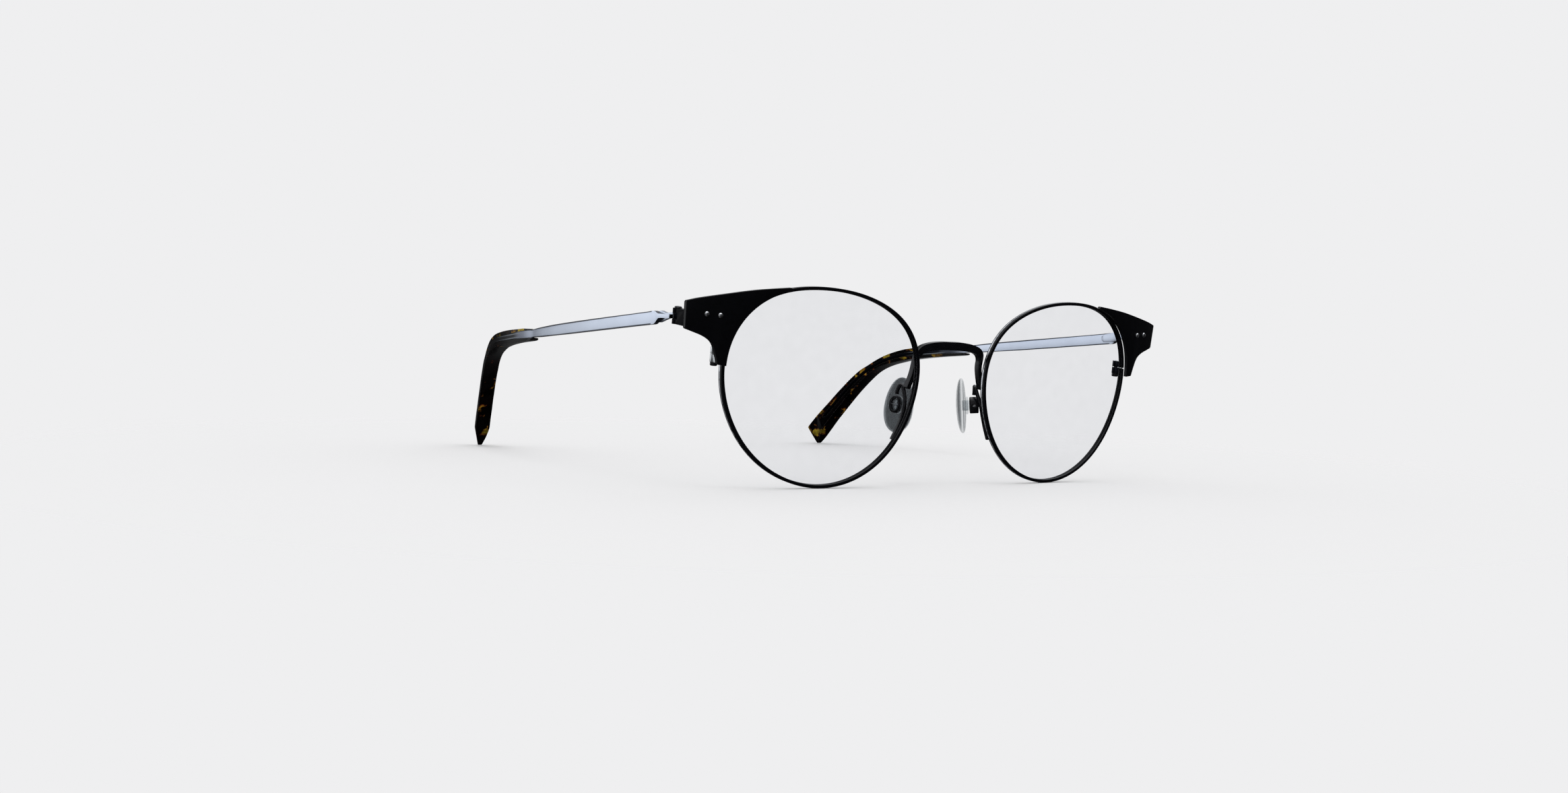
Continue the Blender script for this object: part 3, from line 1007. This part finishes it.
def build_pad_box():
    outer = oval_prism(2.6, 4.0, -1.05, 1.05, round_r=0.18)
    inner = oval_prism(1.7, 3.1, -2, 2)
    bm = union([outer], "pbox", tools=[inner, pin_bm(0.34, 6)])
    return pad_space(round_edges(bm, 0.05, 2, 40))


def build_pad_pin():
    prof = [(0, -1.22), (0.24, -1.22), (0.28, -1.18), (0.28, 1.2), (0.24, 1.24), (0, 1.24)]
    return pad_space(lathe(prof, 28, Matrix.Rotation(math.pi / 2, 4, "Y")))


def build_pad_insert():
    bm = union([oval_prism(1.25, 2.4, -0.72, 2.75, 40, round_r=0.12)], "ins", tools=[pin_bm(0.33, 6)])
    return pad_space(bm)


def build_nose_pad():
    w, h, t = 7.2, 13.2, 2.3
    nu, nv = 72, 40
    rings = []
    verts, rows = [], []
    for i in range(nv + 1):
        a = math.pi * i / nv - math.pi / 2
        up, rad = math.sin(a), math.cos(a)
        row = []
        for j in range(nu):
            b = 2 * math.pi * j / nu
            x, z = rad * math.cos(b), rad * math.sin(b)
            egg = 1 - 0.10 * up - 0.05 * (1 - up * up)
            f = math.copysign(abs(z) ** 0.8, z)
            p = (x * w / 2 * egg * 1.04, up * h / 2, f * t / 2 + 3.12 - 0.35 * x * x - 0.25 * up * up)
            if i in (0, nv) and j > 0:
                row.append(row[0])
                continue
            row.append(len(verts))
            verts.append(p)
        rows.append(row)
    faces = []
    for a, b in zip(rows[:-1], rows[1:]):
        for j in range(nu):
            k = (j + 1) % nu
            f = []
            for q in (a[j], a[k], b[k], b[j]):
                if q not in f:
                    f.append(q)
            if len(f) > 2:
                faces.append(tuple(f))
    body = bm_from(verts, faces)
    boss = oval_prism(2.9, 4.2, 1.42, 3.0, 56, round_r=0.1)
    socket = oval_prism(1.37, 2.52, 0.5, 2.81, 40)
    bm = union([body, boss], "pad", tools=[socket])
    return pad_space(round_edges(bm, 0.06, 2, 45))


def build_pad_arm():
    top = PAD_M @ np.array([0, 2.42, -0.1]) + PAD_PIVOT
    pts = [(14.35, 0.98, -13.2), (13.05, 0.92, -10.4), (12.1, 0.96, -7.9), (11.45, 1.25, -5.6), (11.05, 1.95, -3.7),
           (10.85, 2.85, -2.0), (10.85, 3.45, -1.15), (11.05, 3.95, -0.95), (11.3, 4.22, -1.35), (top[0], top[1], top[2] + 0.55), tuple(top)]
    path = spline(pts, 90)
    tang = np.gradient(path, axis=0)
    tang /= np.linalg.norm(tang, axis=1)[:, None]
    side = np.array([0, 1.0, 0])
    rings = []
    n = 20
    for i, (p, t) in enumerate(zip(path, tang)):
        side = side - t * (side @ t)
        side /= np.linalg.norm(side)
        other = np.cross(t, side)
        flat = 1 - float(smooth(0.22, 0.5, i / 89))
        a_, b_ = mix(0.47, 0.45, flat), mix(0.47, 0.45, flat)
        e = 2 + 3 * flat
        ring = []
        for k in range(n):
            an = 2 * math.pi * k / n
            c, s = math.cos(an), math.sin(an)
            rr = (abs(c) ** e + abs(s) ** e) ** (-1 / e)
            ring.append(p + side * (a_ * c * rr) + other * (b_ * s * rr))
        rings.append(ring)
    return loft(rings)


both(build_eyewire(), "eyewire", "front", "frame_lacquer", M_WIRE)
both(build_lens(), "lens", "front", "lens_clear", M_LENS)
both(build_plate(), "brow_plate", "front", "brow_lacquer", M_BROW)
both(build_rivet("inner"), "rivet_inner", "front", "rivet_steel", M_RIVET)
both(build_rivet("outer"), "rivet_outer", "front", "rivet_steel", M_RIVET)
both(build_front_hinge(), "front_hinge", "front", "frame_lacquer", M_HINGE)
both(build_hinge_screw(), "hinge_screw", "front", "screw_dark", M_SCREW)
both(build_lock(True), "rim_lock_upper", "front", "lock_steel", M_LOCK)
both(build_lock(False), "rim_lock_lower", "front", "lock_steel", M_LOCK)
both(build_lock_screw(), "rim_lock_screw", "front", "screw_dark", M_SCREW)
both(build_pad_arm(), "pad_arm", "front", "frame_lacquer", M_BLACK)
both(build_pad_box(), "pad_box", "front", "frame_lacquer", M_BLACK)
both(build_pad_pin(), "pad_pin", "front", "rivet_steel", M_RIVET)
both(build_temple_hinge(), "temple_hinge", "temple", "frame_lacquer", M_LEAF)
both(build_blade(), "temple_blade", "temple", "temple_steel", M_TEMPLE)
both(build_tip(), "temple_tip", "temple", "tortoise_acetate", M_ACETATE)
both(build_pad_insert(), "pad_insert", "pad", "insert_clear", M_INSERT)
both(build_nose_pad(), "nose_pad", "pad", "pad_silicone", M_PAD)
bridge = build_bridge()
piece(bridge, "bridge", "front", "frame_lacquer", M_BLACK)

# ------------------------------------------------------------------ floor, light, camera
WHITE = (0.863, 0.863, 0.871)


def build_floor():
    bm = bmesh.new()
    bmesh.ops.create_grid(bm, x_segments=8, y_segments=8, size=1.5)
    me = bpy.data.meshes.new("floor")
    bm.to_mesh(me)
    bm.free()
    ob = bpy.data.objects.new("floor", me)
    ob.location = (0, 0, CAD_BOX[0].z - 0.00004)
    bpy.context.scene.collection.objects.link(ob)
    m, nt, out = new_mat("floor_paper")
    L = nt.links.new
    d = N(nt, "ShaderNodeBsdfDiffuse")
    geo = N(nt, "ShaderNodeNewGeometry")
    gr = N(nt, "ShaderNodeTexNoise", in_Scale=900.0, in_Detail=2.0)
    L(geo.outputs["Position"], gr.inputs["Vector"])
    paper = ramp(nt, [(0.3, tuple(FLOOR_TONE * 0.995 for _ in range(3))), (0.7, tuple(FLOOR_TONE * 1.005 for _ in range(3)))])
    L(gr.outputs["Fac"], paper.inputs["Fac"]); L(paper.outputs["Color"], d.inputs["Color"])
    tr = N(nt, "ShaderNodeBsdfTransparent")
    ln = N(nt, "ShaderNodeVectorMath", operation="LENGTH")
    L(geo.outputs["Position"], ln.inputs[0])
    mr = N(nt, "ShaderNodeMapRange", interpolation_type="SMOOTHERSTEP")
    mr.inputs["From Min"].default_value, mr.inputs["From Max"].default_value = 0.11, 0.26
    L(ln.outputs["Value"], mr.inputs["Value"])
    lp = N(nt, "ShaderNodeLightPath")
    mx = N(nt, "ShaderNodeMath", operation="MAXIMUM")
    L(mr.outputs["Result"], mx.inputs[0]); L(lp.outputs["Is Glossy Ray"], mx.inputs[1])
    ms = N(nt, "ShaderNodeMixShader")
    L(mx.outputs[0], ms.inputs["Fac"]); L(d.outputs["BSDF"], ms.inputs[1]); L(tr.outputs["BSDF"], ms.inputs[2])
    L(ms.outputs["Shader"], out.inputs["Surface"])
    me.materials.append(m)
    return ob


FLOOR_TONE = 0.93
floor = build_floor()

scene = bpy.context.scene
scene.view_settings.view_transform = "Standard"
scene.view_settings.look = "None"
world = bpy.data.worlds.new("studio")
scene.world = world
world.use_nodes = True
wn = world.node_tree
wn.nodes.clear()
WL = wn.links.new


def W(kind, **kw):
    return N(wn, kind, **kw)


def wmath(op, a, b=None, clamp=False):
    n = W("ShaderNodeMath", operation=op, use_clamp=clamp)
    for k, x in enumerate((a, b)):
        if x is None:
            continue
        if isinstance(x, (int, float)):
            n.inputs[k].default_value = x
        else:
            WL(x, n.inputs[k])
    return n.outputs[0]


def wstep(value, lo, hi):
    n = W("ShaderNodeMapRange", interpolation_type="SMOOTHSTEP")
    n.inputs["From Min"].default_value, n.inputs["From Max"].default_value = lo, hi
    WL(value, n.inputs["Value"])
    return n.outputs["Result"]


wo = W("ShaderNodeOutputWorld")
tc = W("ShaderNodeTexCoord")


def lobe(azimuth, inner, outer):
    """1 inside +-inner degrees of the azimuth, falling to 0 at +-outer, whatever the elevation."""
    flat = W("ShaderNodeVectorMath", operation="MULTIPLY"); flat.inputs[1].default_value = (1, 1, 0)
    WL(tc.outputs["Generated"], flat.inputs[0])
    un = W("ShaderNodeVectorMath", operation="NORMALIZE"); WL(flat.outputs["Vector"], un.inputs[0])
    dt = W("ShaderNodeVectorMath", operation="DOT_PRODUCT")
    a = math.radians(azimuth)
    dt.inputs[1].default_value = (math.cos(a), math.sin(a), 0)
    WL(un.outputs["Vector"], dt.inputs[0])
    return wstep(dt.outputs["Value"], math.cos(math.radians(outer)), math.cos(math.radians(inner)))


sepd = W("ShaderNodeSeparateXYZ")
WL(tc.outputs["Generated"], sepd.inputs[0])
elev = sepd.outputs["Z"]
# what polished surfaces see: an even room, a tall strip light behind to one side (and its twin for the
# far views), a wide light overhead, a dark flag in front to the right, a dark floor
base = 0.42
room = wmath("ADD", wmath("MULTIPLY", wstep(elev, -0.25, 0.1), base - 0.10), 0.10)
flag = wmath("MULTIPLY", lobe(-48, 40, 85), wstep(elev, 0.75, 0.40))
room = wmath("MULTIPLY", room, wmath("SUBTRACT", 1.0, wmath("MULTIPLY", flag, 0.97)))
side_dark = wmath("MULTIPLY", lobe(172, 8, 30), 0.8)
room = wmath("MULTIPLY", room, wmath("SUBTRACT", 1.0, side_dark))
room = wmath("MULTIPLY", room, wmath("SUBTRACT", 1.0, wmath("MULTIPLY", lobe(88, 8, 30), 0.92)))
strip = wmath("MULTIPLY", lobe(126, 0.5, 18), wstep(elev, -0.32, -0.10))
strip = wmath("MULTIPLY", strip, wstep(elev, 0.90, 0.65))
twin = wmath("MULTIPLY", lobe(35, 8, 26), wmath("MULTIPLY", wstep(elev, -0.30, -0.10), wstep(elev, 0.90, 0.65)))
top = wstep(elev, 0.62, 0.86)
glow = wmath("ADD", room, wmath("MULTIPLY", strip, 0.66))
glow = wmath("ADD", glow, wmath("MULTIPLY", twin, 0.5))
glow = wmath("ADD", glow, wmath("MULTIPLY", top, 1.3))
cool = W("ShaderNodeCombineColor")
for k, c in enumerate((0.985, 1.0, 1.03)):
    WL(wmath("MULTIPLY", glow, c), cool.inputs[k])
bg_gloss = W("ShaderNodeBackground"); WL(cool.outputs["Color"], bg_gloss.inputs["Color"])
bg = W("ShaderNodeBackground"); bg.inputs["Color"].default_value = (*WHITE, 1)
lpw = W("ShaderNodeLightPath")
msw = W("ShaderNodeMixShader")
WL(lpw.outputs["Is Glossy Ray"], msw.inputs["Fac"]); WL(bg.outputs["Background"], msw.inputs[1]); WL(bg_gloss.outputs["Background"], msw.inputs[2])
WL(msw.outputs["Shader"], wo.inputs["Surface"])


def area(name, loc, target, size, energy, color=(1, 1, 1)):
    d = bpy.data.lights.new(name, "AREA")
    d.energy, d.size, d.color, d.shape = energy, size, color, "DISK"
    o = bpy.data.objects.new(name, d)
    o.location = loc
    o.rotation_euler = (Vector(target) - Vector(loc)).to_track_quat("-Z", "Y").to_euler()
    scene.collection.objects.link(o)
    return o


key = area("key", (-0.5, -0.4, 2.4), (0, 0, 0), 0.9, 4.0)

# camera, solved in the front's axes: rows are the camera's right, up and back
CAM_R = np.array([[0.842726, -0.530532, 0.091373], [-0.011957, 0.151241, 0.988425], [-0.53821, -0.834063, 0.121111]])
CAM_T = np.array([38.5478, 2.849, -345.7389])
CAM_F = 2200.0
cam = bpy.data.cameras.new("camera")
cam.sensor_fit = "HORIZONTAL"
cam.sensor_width = 36.0
cam.lens = CAM_F * 36.0 / 2328.0
cam.clip_start, cam.clip_end = 0.01, 20
co = bpy.data.objects.new("camera", cam)
scene.collection.objects.link(co)
R_row = (ROT @ CAM_R.T)            # columns: right, up, back in the row frame
pos = to_row(-CAM_R.T @ CAM_T)
mw = Matrix.Identity(4)
for i in range(3):
    for j in range(3):
        mw[i][j] = float(R_row[i, j])
    mw[i][3] = float(pos[i])
co.matrix_world = mw
scene.camera = co
